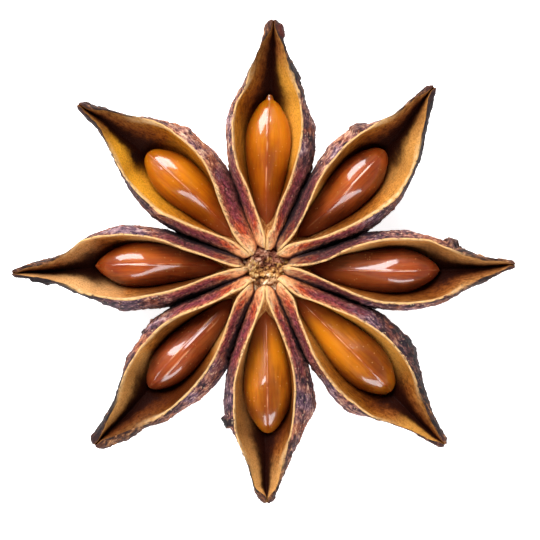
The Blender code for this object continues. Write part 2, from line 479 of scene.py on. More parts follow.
@dataclass(frozen=True)
class DriedSkin:
    """Sun-dried pericarp: a dull, plum-brown skin that cracks into scales as it shrinks,
    with pale cork grains in it and a cream edge where the follicle split."""

    name: str = "dried_pericarp_skin"
    grain: float = 0.20
    patch: float = 1.9

    def make(self) -> bpy.types.Material:
        """Builds the material."""
        finish = Finish(self.name)
        place = finish.millimetres()
        along = finish.attribute("along")
        drop = finish.attribute("drop")
        stain = finish.attribute("stain")
        raised = finish.attribute("raised")

        fibres = finish.own_place("own_place", (0.45, 1, 1))
        grains = finish.noise(fibres, self.grain, detail=6, roughness=0.72)
        tone = finish.sum("SUBTRACT", finish.sum("MULTIPLY", grains, 1.25), 0.12)
        # Raised scales are painted paler and the cracks between them darker, as painted light and shade that
        # follows the relief.
        tone = finish.sum("ADD", tone, finish.sum("MULTIPLY", raised, 0.10))
        # Each side's painted light and shade shifts the skin's tone too.
        tone = finish.sum("ADD", tone, finish.sum("MULTIPLY", finish.attribute("skin_light_and_shade"), 0.055))
        blotch = finish.sum("SUBTRACT", finish.noise(place, 0.9, 3), 0.5)
        tone = finish.sum("ADD", tone, finish.sum("MULTIPLY", blotch, 0.35))
        skin = finish.ramp(
            tone,
            (0.34, "24121A"),
            (0.44, "543034"),
            (0.52, "8A544C"),
            (0.61, "B8826C"),
            (0.72, "E0B896"),
            (0.84, "F4DFC2"),
        )
        lilac = finish.ramp(
            tone, (0.34, "241424"), (0.47, "664656"), (0.60, "AA8488"), (0.76, "E6CCC0")
        )
        russet = finish.ramp(
            tone, (0.34, "3C120C"), (0.47, "84402C"), (0.60, "BE7850"), (0.78, "F0C096")
        )
        patches = finish.noise(place, self.patch, detail=3)
        colour = finish.blend(finish.span(patches, 0.50, 0.62), skin, lilac)
        colour = finish.blend(finish.span(patches, 0.46, 0.36), colour, russet)
        cork = finish.specks(place, 0.15, 0.13)
        colour = finish.blend(finish.sum("MULTIPLY", cork, 0.7), colour, "D9BC98")

        # The young wood near the column is pale along its edges and plum or brick red
        # between them, darker in its sunken middle and darkest toward the groove beside its
        # neighbour, partly as painted shade, and cream where it broke.
        wander = finish.noise(finish.own_place("own_place", (0.35, 1, 1)), 0.55, 5)
        wander = finish.sum("SUBTRACT", wander, 0.5)
        near = finish.sum("ADD", along, finish.sum("MULTIPLY", wander, 3.0))
        across = finish.attribute("across")
        across = finish.sum("ADD", across, finish.sum("MULTIPLY", wander, 0.55))
        streak = finish.noise(finish.own_place("own_place", (0.4, 1, 1)), 0.12, 6, 0.75)
        shade = finish.ramp(streak, (0.36, "4A302C"), (0.48, "B8A294"), (0.58, "FFFFFF"))
        plum = finish.ramp(
            across,
            (0.00, "FFDCA0"),
            (0.06, "ECA870"),
            (0.16, "BC5A4A"),
            (0.44, "883044"),
            (0.68, "A85C54"),
            (0.88, "2E0C18"),
        )
        brick = finish.ramp(
            across,
            (0.00, "FFDCA0"),
            (0.07, "F8A870"),
            (0.24, "E86628"),
            (0.50, "B83C1C"),
            (0.72, "D4804E"),
            (0.90, "3A1010"),
        )
        ends = finish.ramp(across, (0.0, "FFE4B4"), (0.3, "FFBE80"), (0.7, "EE9C60"), (0.96, "6A3018"))
        plum = finish.blend(1.0, plum, shade, "MULTIPLY")
        brick = finish.blend(1.0, brick, shade, "MULTIPLY")
        ends = finish.blend(0.5, ends, shade, "MULTIPLY")
        colour = finish.blend(finish.span(near, 7.4, 5.4), colour, plum)
        colour = finish.blend(finish.span(near, 4.0, 2.6), colour, brick)
        colour = finish.blend(finish.span(near, 2.5, 1.7), colour, ends)
        young = finish.span(near, 7.4, 5.4)
        # On sides given painted shade, the young wood is painted darker.
        skin_light_and_shade = finish.attribute("skin_light_and_shade")
        darker = finish.sum("MAXIMUM", finish.sum("MULTIPLY", skin_light_and_shade, -0.4), 0.0)
        colour = finish.blend(finish.sum("MULTIPLY", darker, young), colour, "2A0E16")
        flecks = finish.noise(finish.own_place("own_place", (0.6, 1, 1)), 0.15, 6, 0.8)
        flecks = finish.sum("MULTIPLY", finish.span(flecks, 0.57, 0.68), finish.span(along, 8.0, 5.0))
        colour = finish.blend(finish.sum("MULTIPLY", flecks, 0.55), colour, "F4C49C")

        # Deep between the follicles the skin is painted dark, as painted shade, and the beaks weather brown.
        groove = finish.sum("MULTIPLY", finish.span(drop, 0.9, 2.0), finish.span(along, 7.5, 5.5))
        colour = finish.blend(finish.sum("MULTIPLY", groove, 0.5), colour, "26090F")
        beak = finish.ramp(tone, (0.38, "160A05"), (0.51, "42240F"), (0.62, "8A5830"), (0.78, "CC9A64"))
        colour = finish.blend(
            finish.sum("MULTIPLY", finish.span(finish.sum("ADD", along, wander), 10.1, 13.2), 0.9), colour, beak
        )
        # The beaks' fibres run out to the tip, which is worn redder.
        lines = finish.noise(finish.own_place("own_place", (0.12, 1, 1)), 0.16, 5, 0.7)
        lines = finish.ramp(lines, (0.38, "3A2C24"), (0.47, "C8B8A8"), (0.56, "FFFFFF"))
        colour = finish.blend(
            finish.sum("MULTIPLY", finish.span(along, 9.0, 12.5), 0.9), colour, lines, "MULTIPLY"
        )
        colour = finish.blend(finish.attribute("tip"), colour, "4A2014")

        # Sides given painted shade are painted darker all over.
        skin_shade_amount = finish.sum("MAXIMUM", finish.sum("MULTIPLY", skin_light_and_shade, -0.35), 0.0)
        colour = finish.blend(skin_shade_amount, colour, "1E1014")

        # The split edge shows the pale wood of the wall.
        edge = finish.sum("MULTIPLY", finish.span(drop, 0.05, 0.0), finish.span(along, 13.5, 11.0))
        broken = finish.span(finish.noise(place, 0.35, 4), 0.30, 0.52)
        colour = finish.blend(finish.sum("MULTIPLY", edge, broken), colour, "F0C07C")
        mark = finish.add("ShaderNodeAttribute", {"attribute_name": "mark"}).outputs["Vector"]
        colour = finish.blend(stain, colour, mark)

        grit = finish.noise(place, 0.09, detail=5, roughness=0.75)
        finish.set(Base_Color=colour, Roughness=0.72, IOR=1.45, Specular_IOR_Level=0.4)
        finish.relief(finish.sum("ADD", grit, finish.sum("MULTIPLY", grains, 1.3)), 0.10)
        return finish.material


@dataclass(frozen=True)
class Lining:
    """Endocarp: the hard smooth lining of a follicle, golden and satin where it is
    fresh, tan where it has aged, painted darker with depth and nearly black in the keel as painted shade, and
    paler or darker by side as painted light and shade."""

    name: str = "satin_endocarp_lining"

    def make(self) -> bpy.types.Material:
        """Builds the material."""
        finish = Finish(self.name)
        place = finish.millimetres()
        along = finish.attribute("along")
        drop = finish.attribute("drop")
        depth = finish.attribute("depth")
        age = finish.attribute("age")

        cloud = finish.noise(place, 1.4, detail=4)
        grit = finish.noise(place, 0.13, detail=5, roughness=0.7)
        # The lining is painted darker with depth in the hollow and down from the rim, as painted shade, broken
        # up by mottling.
        depth_shade_and_mottle = finish.sum("ADD", finish.sum("MULTIPLY", depth, 0.62), finish.sum("MULTIPLY", drop, 0.125))
        mottle = finish.sum("SUBTRACT", finish.noise(place, 0.5, 5, 0.65), 0.5)
        depth_shade_and_mottle = finish.sum("ADD", depth_shade_and_mottle, finish.sum("MULTIPLY", mottle, 0.35))
        depth_shade_and_mottle = finish.sum("ADD", depth_shade_and_mottle, finish.sum("MULTIPLY", cloud, 0.3))
        depth_shade_and_mottle = finish.sum("SUBTRACT", depth_shade_and_mottle, 0.2)
        fresh = finish.ramp(
            depth_shade_and_mottle,
            (0.00, "DE9C38"),
            (0.16, "C47C20"),
            (0.36, "9C5A18"),
            (0.58, "7C4016"),
            (0.90, "5C2C12"),
        )
        aged = finish.ramp(
            depth_shade_and_mottle,
            (0.00, "C48C52"),
            (0.16, "AA6E38"),
            (0.36, "884C20"),
            (0.58, "6E361A"),
            (0.90, "562814"),
        )
        colour = finish.blend(age, fresh, aged)
        dull = finish.ramp(depth_shade_and_mottle, (0.0, "AA7C4C"), (0.3, "845230"), (0.55, "5A3018"), (0.85, "3A1A0C"))
        dry = finish.span(finish.sum("ADD", along, cloud), 10.6, 14.4)
        colour = finish.blend(finish.sum("MULTIPLY", dry, 0.7), colour, dull)
        strands = finish.noise(finish.own_place("own_place", (0.35, 1, 0.6)), 0.16, 6, 0.75)
        light = finish.ramp(strands, (0.36, "6E5C4C"), (0.49, "DCD2C6"), (0.60, "FFFFFF"))
        colour = finish.blend(0.9, colour, light, "MULTIPLY")
        # Each side is painted paler or darker here, as painted light and shade.
        tone = finish.attribute("tone")
        pale = finish.blend(age, "FFBA34", "F0BE84")
        colour = finish.blend(
            finish.sum("MAXIMUM", finish.sum("MULTIPLY", tone, 0.5), 0.0), colour, pale
        )
        colour = finish.blend(
            finish.sum("MAXIMUM", finish.sum("MULTIPLY", tone, -0.6), 0.0), colour, "461C06"
        )
        sand = finish.ramp(
            finish.noise(place, 0.11, 5, 0.75), (0.36, "7C6444"), (0.48, "E8DCCA"), (0.60, "FFFFFF")
        )
        colour = finish.blend(0.6, colour, sand, "MULTIPLY")
        # From the seed's outer end on, the bottom of the keel is painted nearly black, as painted shade.
        past = finish.attribute("past")
        keel = finish.sum("ADD", depth, finish.sum("MULTIPLY", mottle, 0.40))
        keel = finish.sum("MULTIPLY", finish.span(keel, 0.46, 0.82), finish.span(past, -1.2, 0.2))
        colour = finish.blend(finish.sum("MULTIPLY", keel, 0.95), colour, "1C0603")
        colour = finish.blend(finish.attribute("tip"), colour, "4A180C")
        # Short fibres hold the inner end of the seed.
        fibres = finish.noise(finish.own_place("own_place", (0.12, 1, 0.5)), 0.10, 4, 0.6)
        root = finish.ramp(fibres, (0.36, "6A3414"), (0.50, "A86C34"), (0.66, "E0B070"))
        colour = finish.blend(finish.span(along, 5.2, 2.2), colour, root)

        edge = finish.sum("MULTIPLY", finish.span(drop, 0.42, 0.04), finish.span(along, 13.5, 11.0))
        pale = finish.ramp(finish.noise(place, 0.3, 4), (0.35, "CC9A5A"), (0.6, "EBCB98"))
        colour = finish.blend(finish.sum("MULTIPLY", edge, 0.85), colour, pale)

        mark = finish.add("ShaderNodeAttribute", {"attribute_name": "mark"}).outputs["Vector"]
        colour = finish.blend(finish.attribute("stain"), colour, mark)

        finish.set(Base_Color=colour, Roughness=0.45, IOR=1.5, Specular_IOR_Level=0.06)
        finish.relief(finish.sum("ADD", grit, finish.noise(place, 0.45, 3)), 0.05)
        return finish.material


class SeedTint(Enum):
    """The seeds' colours: a lighter top for painted light, the body, a darker flank for painted shade, and a
    golden patch colour.
    """

    HONEY = ("C07006", "A85808", "8C4208", "D88610")
    AMBER = ("BC6E12", "9C560C", "74380A", "E08A12")
    RUSSET = ("B0541C", "924016", "68260C", "CC6E1C")
    MAHOGANY = ("A04C22", "843A1A", "5C200E", "C0642A")


@dataclass(frozen=True)
class SeedCoat:
    """Testa: the hard polished shell of the seed, like varnished horn, a little
    translucent, with a redder raised seam over its top, painted lighter on top and darker on its flanks as
    painted light and shade."""

    tint: SeedTint

    def make(self) -> bpy.types.Material:
        """Builds the material."""
        finish = Finish(f"polished_testa_{self.tint.name.lower()}")
        lit, body, edge, gold = self.tint.value
        place = finish.millimetres()
        streaks = finish.noise(finish.own_place("coat_place", (0.10, 1, 1)), 0.16, 5, 0.65)
        seam = finish.attribute("seam")
        side = finish.attribute("side")
        run = finish.attribute("run")
        cloud = finish.noise(place, 1.5, detail=2)
        # The top is painted lighter and the flanks darker, as painted light and shade, mixed with the coat's
        # own cloudy and streaky colour.
        shade = finish.sum("ADD", side, finish.sum("MULTIPLY", cloud, 0.7))
        shade = finish.sum("ADD", shade, finish.sum("MULTIPLY", streaks, 0.9))
        shade = finish.sum("SUBTRACT", shade, 0.35)
        colour = finish.ramp(shade, (0.35, lit), (0.65, body), (0.95, edge))
        # Right at the silhouette it goes back to the body colour, as painted light where the walls shade it.
        colour = finish.blend(finish.span(side, 0.72, 0.95), colour, body)
        # Patches: some are the seed's own uneven colour, some are painted light on flanks and ends that the
        # lamps leave dark.
        glow = finish.attribute("glow")
        colour = finish.blend(
            finish.sum("MAXIMUM", finish.sum("MULTIPLY", glow, 0.7), 0.0), colour, gold
        )
        colour = finish.blend(
            finish.sum("MAXIMUM", finish.sum("MULTIPLY", glow, -0.8), 0.0), colour, "5C200A"
        )
        root = finish.sum("MULTIPLY", finish.span(run, 0.30, 0.05), 0.7)
        colour = finish.blend(root, colour, "A85430")
        # The outer end is painted toward the lit colour, as painted light where the hollow shades it.
        colour = finish.blend(finish.sum("MULTIPLY", finish.span(run, 0.82, 0.97), 0.7), colour, lit)
        band = finish.attribute("band")
        colour = finish.blend(finish.sum("MULTIPLY", band, 0.5), colour, "8A3412")
        # A pale line along the seam, broken into patches, is a painted highlight.
        seam_highlight_patches = finish.span(finish.noise(place, 1.3, 2), 0.42, 0.62)
        seam = finish.sum("MULTIPLY", seam, seam_highlight_patches)
        colour = finish.blend(finish.sum("MULTIPLY", seam, 0.7), colour, "E0A070")
        colour = finish.blend(finish.sum("MULTIPLY", finish.span(run, 0.991, 0.997), 0.6), colour, "6A3018")
        dust = finish.specks(place, 0.14, 0.05)
        colour = finish.blend(finish.sum("MULTIPLY", dust, 0.3), colour, "E8B070")
        finish.set(
            Base_Color=colour,
            Roughness=0.3,
            IOR=1.5,
            Specular_IOR_Level=0.2,
            Coat_Weight=1.0,
            Coat_Roughness=0.1,
            Coat_IOR=1.6,
            Subsurface_Weight=0.35,
            Subsurface_Scale=0.7 * MM,
        )
        waves = finish.sum("MULTIPLY", finish.noise(place, 0.42, 4), 0.9)
        finish.relief(finish.sum("ADD", streaks, waves), 0.034)
        return finish.material


@dataclass(frozen=True)
class Crumb:
    """Dried pith: the spongy heart of the fruit, shrunk to pale and plum crumbs."""

    name: str = "crumbly_dried_pith"

    def make(self) -> bpy.types.Material:
        """Builds the material."""
        finish = Finish(self.name)
        place = finish.millimetres()
        fleck = finish.noise(place, 0.22, detail=6, roughness=0.7)
        raised = finish.attribute("raised")
        # Raised crumbs are painted paler and the dips darker, as painted light and shade that follows the
        # relief.
        tone = finish.sum("ADD", fleck, finish.sum("MULTIPLY", raised, 0.22))
        tone = finish.sum("ADD", tone, 0.10)
        cream = finish.ramp(
            tone,
            (0.28, "1E0C08"),
            (0.42, "6A3C20"),
            (0.54, "A8743C"),
            (0.66, "C89C58"),
            (0.80, "E2C894"),
        )
        plum = finish.ramp(tone, (0.3, "2E100A"), (0.48, "703A28"), (0.62, "A06A50"), (0.78, "CCA488"))
        # Partly the pith's own mix of cream and plum, and painted plum-dark toward the north, where the lips
        # shade it, and paler to the south, as painted light and shade.
        painted_light_southward = finish.sum("ADD", finish.attribute("painted_light_southward"), finish.noise(place, 0.5, 3))
        colour = finish.blend(finish.span(painted_light_southward, 0.52, 0.34), cream, plum)
        colour = finish.blend(finish.span(painted_light_southward, 0.60, 0.80), colour, finish.ramp(
            tone, (0.3, "3A1C12"), (0.45, "A87850"), (0.6, "E0C094"), (0.75, "FAE6C4")
        ))
        # The column is painted darker lower down, as painted shade under the follicles.
        colour = finish.blend(finish.span(finish.attribute("drop"), 0.4, 2.0), colour, "3A1C12")
        grit = finish.noise(place, 0.09, detail=4)
        finish.set(Base_Color=colour, Roughness=0.85, IOR=1.45, Specular_IOR_Level=0.3)
        finish.relief(grit, 0.06)
        return finish.material


# --- The follicles -----------------------------------------------------------------

# Half-widths are read at these distances from the column's axis.
MOUTH_STATIONS = (2.55, 3.8, 5.1, 6.4, 7.7, 8.95, 10.2, 11.5, 12.8, 14.05, 15.3)
BODY_STATIONS = (6.4, 7.7, 8.95, 10.2, 11.5, 12.8, 14.05, 15.3)
# And how much painted light and shade the lining and the skin get, at these.
SHADE_STATIONS = (5.6, 7.7, 9.7, 11.7, 13.7)


@dataclass(frozen=True)
class Side:
    """One side of a follicle, seen from above."""

    wall: float  # azimuth where this flank meets its neighbour's, from the follicle's own
    mouth: tuple[float, ...]  # half-width of the opening at MOUTH_STATIONS
    body: tuple[float, ...]  # half-width of the body at BODY_STATIONS
    lip_start: float = 1.25  # where this side's lip ends, beside the column
    tone: tuple[float, ...] = (0.0,) * 5  # painted light and shade: how much paler or darker this side's lining is painted, about -1 to 1
    skin_light_and_shade: tuple[float, ...] = (0.0,) * 5  # and its skin's painted light and shade
    groove: float = 0.3  # how wide the painted shade in the groove beside its neighbour is


def shade_of(values: tuple[float, ...], along: Array) -> Array:
    """Reads how much paler or darker a side is painted, as painted light and shade, at each distance from the
    column's axis.
    """
    return Profile(*zip(SHADE_STATIONS, values))(along)


@dataclass(frozen=True)
class Glow:
    """A lighter or darker patch in a seed's coat: some are the seed's own uneven colour, some are painted light
    on flanks and ends that the lamps leave dark.
    """

    run: float  # how far along the seed, from 0 to 1
    side: float  # how far to the left, from -1 to 1
    reach: float
    amount: float  # from -1, dark, to 1, golden


@dataclass(frozen=True)
class SeedShape:
    """The seed of one follicle."""

    left: float  # how far it reaches to the left of the follicle's middle
    right: float
    tint: SeedTint
    skew: float = 1.67  # puts the widest place at about two thirds of its length
    top: float = 6.85
    peaked: float = 0.0  # how far its outer end comes to a point
    nub: float = 0.0  # how long the scrap of stalk on its outer end is
    lines: tuple[float, ...] = (0.0,)  # where its seam lines run, from the ridge
    glows: tuple[Glow, ...] = ()


@dataclass(frozen=True)
class Blemish:
    """A lifted scale, wart or knob on a follicle's skin."""

    along: float
    left: float
    reach: float  # half its length
    rise: float
    stain: float = 0.0  # how strongly it is coloured
    colour: str = "120A0A"
    inside: bool = False  # whether it is a crumb or tear on the lining


@dataclass(frozen=True)
class FollicleShape:
    """The outline of one follicle."""

    number: int
    left: Side
    right: Side
    seed: SeedShape
    swing: float  # how far its middle line lies anticlockwise of its tip
    tip_rise: float = 0.3
    tip_width: float = 0.35  # half of the beak's width where its end rounds off
    age: float = 0.0  # 0 for a golden lining, 1 for a tan one
    blemishes: tuple[Blemish, ...] = ()


@dataclass
class Husk:
    """The common form of the follicles' woody shells, and how finely it is meshed."""

    rings: int = 270
    flank_points: int = 20
    shoulder_points: int = 28
    crest_points: int = 5
    hollow_points: int = 26
    first: float = 1.1
    rim: Profile = field(
        default_factory=lambda: Profile(
            (1.1, 6.55), (1.6, 6.85), (3.2, 7.15), (7.2, 7.6), (11.2, 7.5), (14.1, 7.5), (16, 7.7)
        )
    )
    keel: Profile = field(
        default_factory=lambda: Profile(
            (1.1, 1.6), (3.2, 0.6), (5.7, 0.05), (7.1, 0.0), (8.7, 0.3), (10.3, 1.2),
            (12.2, 3.05), (14.1, 5.2), (16.0, 6.9),
        )
    )
    root: Profile = field(  # how deep the hollow is, from the seed's inner end on
        default_factory=lambda: Profile(
            (-1.5, 0.12), (-0.8, 0.25), (-0.3, 0.6), (0.0, 1.5), (0.6, 3.1), (1.5, 4.8), (2.6, 5.9),
            (4.0, 6.3),
        )
    )
    beyond: Profile = field(  # and from its outer end on
        default_factory=lambda: Profile(
            (-2.5, 5.6), (-1.2, 4.2), (-0.5, 3.1), (0.0, 2.45), (0.6, 2.05), (1.6, 1.6), (3.0, 1.1),
            (4.6, 0.6),
        )
    )
    bow: Profile = field(
        default_factory=lambda: Profile(
            (1.1, 1.4), (3.8, 1.9), (5.1, 1.65), (6.4, 1.45), (7.8, 1.3), (9.0, 1.2), (11.0, 1.05)
        )
    )
    lip: Profile = field(
        default_factory=lambda: Profile(
            (1.1, 0.14), (2.6, 0.10), (4.5, 0.08), (7.0, 0.07), (11.0, 0.07), (14.0, 0.12), (16.0, 0.15)
        )
    )
    shoulder: Profile = field(
        default_factory=lambda: Profile(
            (1.1, 0.5), (2.0, 0.8), (3.2, 1.5), (4.5, 2.3), (7.0, 2.4), (10.5, 1.7), (13.5, 1.0),
            (16.0, 0.35),
        )
    )
    trough: Profile = field(  # how far the young wood has sunk between its edges
        default_factory=lambda: Profile((1.1, 0.04), (2.5, 0.12), (4.5, 0.18), (6.5, 0.1), (8.0, 0.0))
    )

    @property
    def around(self) -> int:
        """How many points a cross-section has."""
        side = self.flank_points + self.shoulder_points + self.crest_points + self.hollow_points
        return 2 * side


class SeedForm:
    """Where a seed lies in its follicle, and how wide and high it is along its length."""

    CROWN = 1.25  # the widest place lies this far under the ridge
    ROOT = 0.35  # the inner end's thread reaches this far in from the seed's own end
    RIDGE = Profile(
        (0, 5.3), (0.14, 5.85), (0.28, 6.2), (0.41, 6.50), (0.52, 6.72), (0.64, 6.85), (0.79, 6.72),
        (0.92, 6.35), (1.0, 5.75),
    )

    def __init__(self, shape: SeedShape, node: str, azimuth: float) -> None:
        """Finds the seed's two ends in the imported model.

        Args:
            shape: Its outline.
            node: Its node.
            azimuth: Which way its follicle points.
        """
        self.shape = shape
        turned = math.radians(azimuth)
        ahead = Vector((math.cos(turned), math.sin(turned), 0))
        reach = [v.co.dot(ahead) / MM for v in bpy.data.objects[node].data.vertices]
        self.start, self.end = min(reach) - self.ROOT, max(reach)
        self.half = (shape.left + shape.right) / 2

    def swell(self, run: Array) -> Array:
        """How full the seed is at each place along it, from 0 to 1."""
        arch = np.maximum(np.sin(math.pi * run**self.shape.skew), 0)
        closing = 0.12 * smooth(0.65, 0.85, run) * smooth(1.0, 0.9, run)
        peaked = self.shape.peaked * smooth(0.7, 1.0, run)
        return arch ** (0.35 + 0.2 * np.minimum(run, 0.65) + closing + peaked)

    def centre(self, run: Array) -> Array:
        """How far the ridge lies to the left of the follicle's middle."""
        return (self.shape.left - self.shape.right) / 2 * smooth(-0.3, 0.5, run)

    def reach(self, run: Array, on_left: Array) -> Array:
        """How far the seed reaches to one side of the follicle's middle."""
        return self.half * self.swell(run) + np.where(on_left, 1, -1) * self.centre(run)

    def widest(self, run: Array) -> Array:
        """The height of the seed's widest place."""
        return self.RIDGE(run) + self.shape.top - 6.85 - self.CROWN * self.swell(run)


class Follicle:
    """One boat-shaped follicle of the star, split open along its upper edge."""

    LAP = 0.08  # neighbours have grown together by this much

    def __init__(self, shape: FollicleShape, husk: Husk) -> None:
        """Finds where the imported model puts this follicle.

        Args:
            shape: Its outline.
            husk: The common form.
        """
        self.shape = shape
        self.husk = husk
        self.node = f"follicle_{shape.number}"
        self.azimuth, self.length = self.tip()
        self.bed = SeedForm(shape.seed, f"seed_{shape.number}", self.azimuth)
        self.piece = MeshPiece(f"husk_{shape.number}")
        self.grain = Grain(40 + shape.number)

    def tip(self) -> tuple[float, float]:
        """The tip's azimuth and its distance from the axis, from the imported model."""
        node = bpy.data.objects[self.node]
        flat = np.array([v.co[:2] for v in node.data.vertices])
        reach = np.hypot(flat[:, 0], flat[:, 1])
        end = flat[reach > 0.985 * reach.max()].mean(axis=0)
        azimuth = math.degrees(math.atan2(end[1], end[0])) + self.shape.swing
        return azimuth, float(reach.max()) / MM

    def to_plan(self, along: Array, left: Array, height: Array) -> Array:
        """Turns the follicle's own measures into places in the frame.

        Args:
            along: Distances from the column's axis.
            left: Distances to the left of the follicle's middle.
            height: Heights over the table.

        Returns:
            One row for each place, in millimetres.
        """
        turned = math.radians(self.azimuth)
        return np.stack(
            [
                along * math.cos(turned) - left * math.sin(turned),
                along * math.sin(turned) + left * math.cos(turned),
                height,
            ],
            axis=1,
        )

    def half_widths(self, side: Side, along: Array) -> tuple[Array, Array]:
        """The opening's and the body's half-widths on one side.

        Args:
            side: Which side.
            along: Distances from the column's axis.

        Returns:
            The two half-widths at each distance.
        """
        end = self.length + 0.02
        mouth_points = [(self.husk.first, 0.01), (1.7, 0.03), *zip(MOUTH_STATIONS, side.mouth)]
        mouth_points = [p for p in mouth_points if p[0] < end - 0.6]
        mouth = Profile(*mouth_points, (end - 0.35, 0.05), (end, 0.02))(along)
        slope = math.tan(math.radians(side.wall))
        room = along * slope + self.LAP / 2
        body_points = [(r, w + 0.04) for r, w in zip(BODY_STATIONS, side.body) if r < end - 0.5]
        start = [(r, r * slope + self.LAP / 2) for r in (self.husk.first, 3.0, 5.0)]
        close = (end - 0.15, self.shape.tip_width)
        body = Profile(*start, *body_points, close, (end, 0.8 * self.shape.tip_width))(along)
        return mouth, np.minimum(body, np.where(along < 6.0, room, body))

    def middle(self, along: Array) -> Array:
        """How far the keel lies to the left of the follicle's straight middle line."""
        left, _ = self.half_widths(self.shape.left, along)
        right, _ = self.half_widths(self.shape.right, along)
        return 0.65 * (left - right) / 2

    def section(self, along: Array, turn: Array) -> dict[str, Array]:
        """The shell's surface, as a rolled-up sheet.

        The turn runs round a cross-section: 0 at the keel, up the right flank, over the
        right lip, down into the hollow at 0.5, and back over the left lip to 1.

        Args:
            along: Distances from the column's axis.
            turn: Places round the cross-section.

        Returns:
            The place to the left, the height, the run past the split edge, the depth in
            the hollow from 0 to 1, and 1 where the surface is the lining.
        """
        husk = self.husk
        on_left = turn > 0.5
        half = husk.around / 2
        step = np.where(on_left, 1 - turn, turn) * 2 * half
        middle = self.middle(along)
        mouth_l, body_l = self.half_widths(self.shape.left, along)
        mouth_r, body_r = self.half_widths(self.shape.right, along)
        mouth = np.where(on_left, mouth_l, mouth_r)
        body = np.where(on_left, body_l, body_r)
        start = np.where(on_left, self.shape.left.lip_start, self.shape.right.lip_start)
        # How far across the young wood the painted shade of the groove reaches.
        groove_shade_reach = 0.72 + 0.52 * np.where(on_left, self.shape.left.groove, self.shape.right.groove)

        rise = self.shape.tip_rise * (along / self.length) ** 6
        rim = husk.rim(along) + rise
        keel = husk.keel(along) + rise
        shoulder = husk.shoulder(along)
        lip = husk.lip(along)
        hollow = np.minimum(husk.root(along - self.bed.start), husk.beyond(along - self.bed.end))
        floor = np.maximum(rim - hollow, np.maximum(keel, 0) + 0.25)

        # The lips round off where they end beside the column, and at the tip.
        fresh = np.sqrt(np.clip((along - start + 0.12) / 0.35, 0.02, 1))
        blunt = np.sqrt(np.clip((self.length - along) / 0.25, 0.06, 1))
        taper = fresh * blunt
        edge = np.minimum(mouth + lip, np.maximum(body - 0.02, mouth + 0.03))
        core = (mouth + edge) / 2
        mouth = core + (mouth - core) * taper
        edge = core + (edge - core) * taper
        body = np.where(along < 3, edge + (body - edge) * taper, body * np.where(along > 8, blunt**0.5, 1))
        body = np.maximum(body, edge)
        rim = rim - (1 - fresh) * 0.7 - (1 - blunt) * 0.25

        bounds = np.cumsum(
            [husk.flank_points, husk.shoulder_points, husk.crest_points, husk.hollow_points]
        )
        sign = np.where(on_left, 1.0, -1.0)
        quarter = math.pi / 2
        flank = np.clip(step / bounds[0], 0, 1) * quarter
        over = np.clip((step - bounds[0]) / husk.shoulder_points, 0, 1) * quarter
        crest = np.clip((step - bounds[1]) / husk.crest_points, 0, 1)
        down = np.clip((step - bounds[2]) / husk.hollow_points, 0, 1)

        waist = rim - shoulder
        keel_side = sign * middle
        flank_side = keel_side + (body - keel_side) * np.sin(flank) ** 0.85
        flank_height = waist - (waist - keel) * np.cos(flank) ** 1.15
        over_side = edge + (body - edge) * np.cos(over) ** 0.95
        across = np.clip((over_side - edge) / np.maximum(body - edge, 1e-6), 0, 1)
        over_height = waist + (rim - waist) * np.sin(over)
        over_height -= husk.trough(along) * np.exp(-(((across - 0.42) / 0.2) ** 2))
        crest_side = edge + (mouth - edge) * crest
        crest_height = rim + 0.04 * np.sin(crest * math.pi) * taper
        bow = self.hug(along, on_left, (rim - floor, rim), mouth, keel_side)
        sunk = 1 - (1 - down) ** 1.25
        hollow_side = keel_side + (mouth - keel_side) * (1 - sunk**bow)
        hollow_height = rim - (rim - floor) * sunk

        zone = np.digitize(step, bounds[:3] + 1e-6)
        zone = np.where(step <= bounds[0], 0, zone)
        side = np.choose(zone, [flank_side, over_side, crest_side, hollow_side])
        height = np.choose(zone, [flank_height, over_height, crest_height, hollow_height])
        return {
            "left": sign * side,
            "height": np.maximum(height, 0),
            "drop": np.choose(
                zone,
                [
                    rim - flank_height,
                    np.hypot(rim - over_height, over_side - edge),
                    np.zeros_like(rim),
                    rim - hollow_height,
                ],
            ),
            "depth": np.where(zone == 3, sunk, 0.0),
            "across": np.where(zone == 1, across * groove_shade_reach, np.where(zone == 0, 1.0, 0.0)),
            "lining": np.where(step > bounds[2] - 1.5, 1.0, 0.0),
        }

    def hug(
        self, along: Array, on_left: Array, levels: tuple[Array, Array], mouth: Array, keel_side: Array
    ) -> Array:
        """How full the wall's curve is, so that the lining lies close to the seed.

        Args:
            along: Distances from the column's axis.
            on_left: Which side each place is on.
            levels: The hollow's depth and the rim's height.
            mouth: The opening's half-widths.
            keel_side: The keel's places, counted outwards.

        Returns:
            The power of the wall's curve at each distance.
        """
        deep, rim = levels
        bed = self.bed
        run = np.clip((along - bed.start) / (bed.end - bed.start), 0, 2)
        run = np.maximum(0.8 - np.log1p(np.exp((0.8 - run) * 14)) / 14, 0)
        reach = bed.reach(run, on_left) + 0.04
        level = np.clip((rim - bed.widest(run)) / deep, 0.12, 0.8)
        most = 0.97 - 0.3 * smooth(-1.5, 0.5, along - bed.end)
        share = np.maximum((reach - keel_side) / np.maximum(mouth - keel_side, 1e-3), 0.1)
        close = capped(np.log(1 - capped(share, most, 12)) / np.log(level), 3.6, 4)
        held = smooth(0.02, 0.12, run) * smooth(1.6, -2.2, along - bed.end)
        return self.husk.bow(along) * (1 - held) + close * held

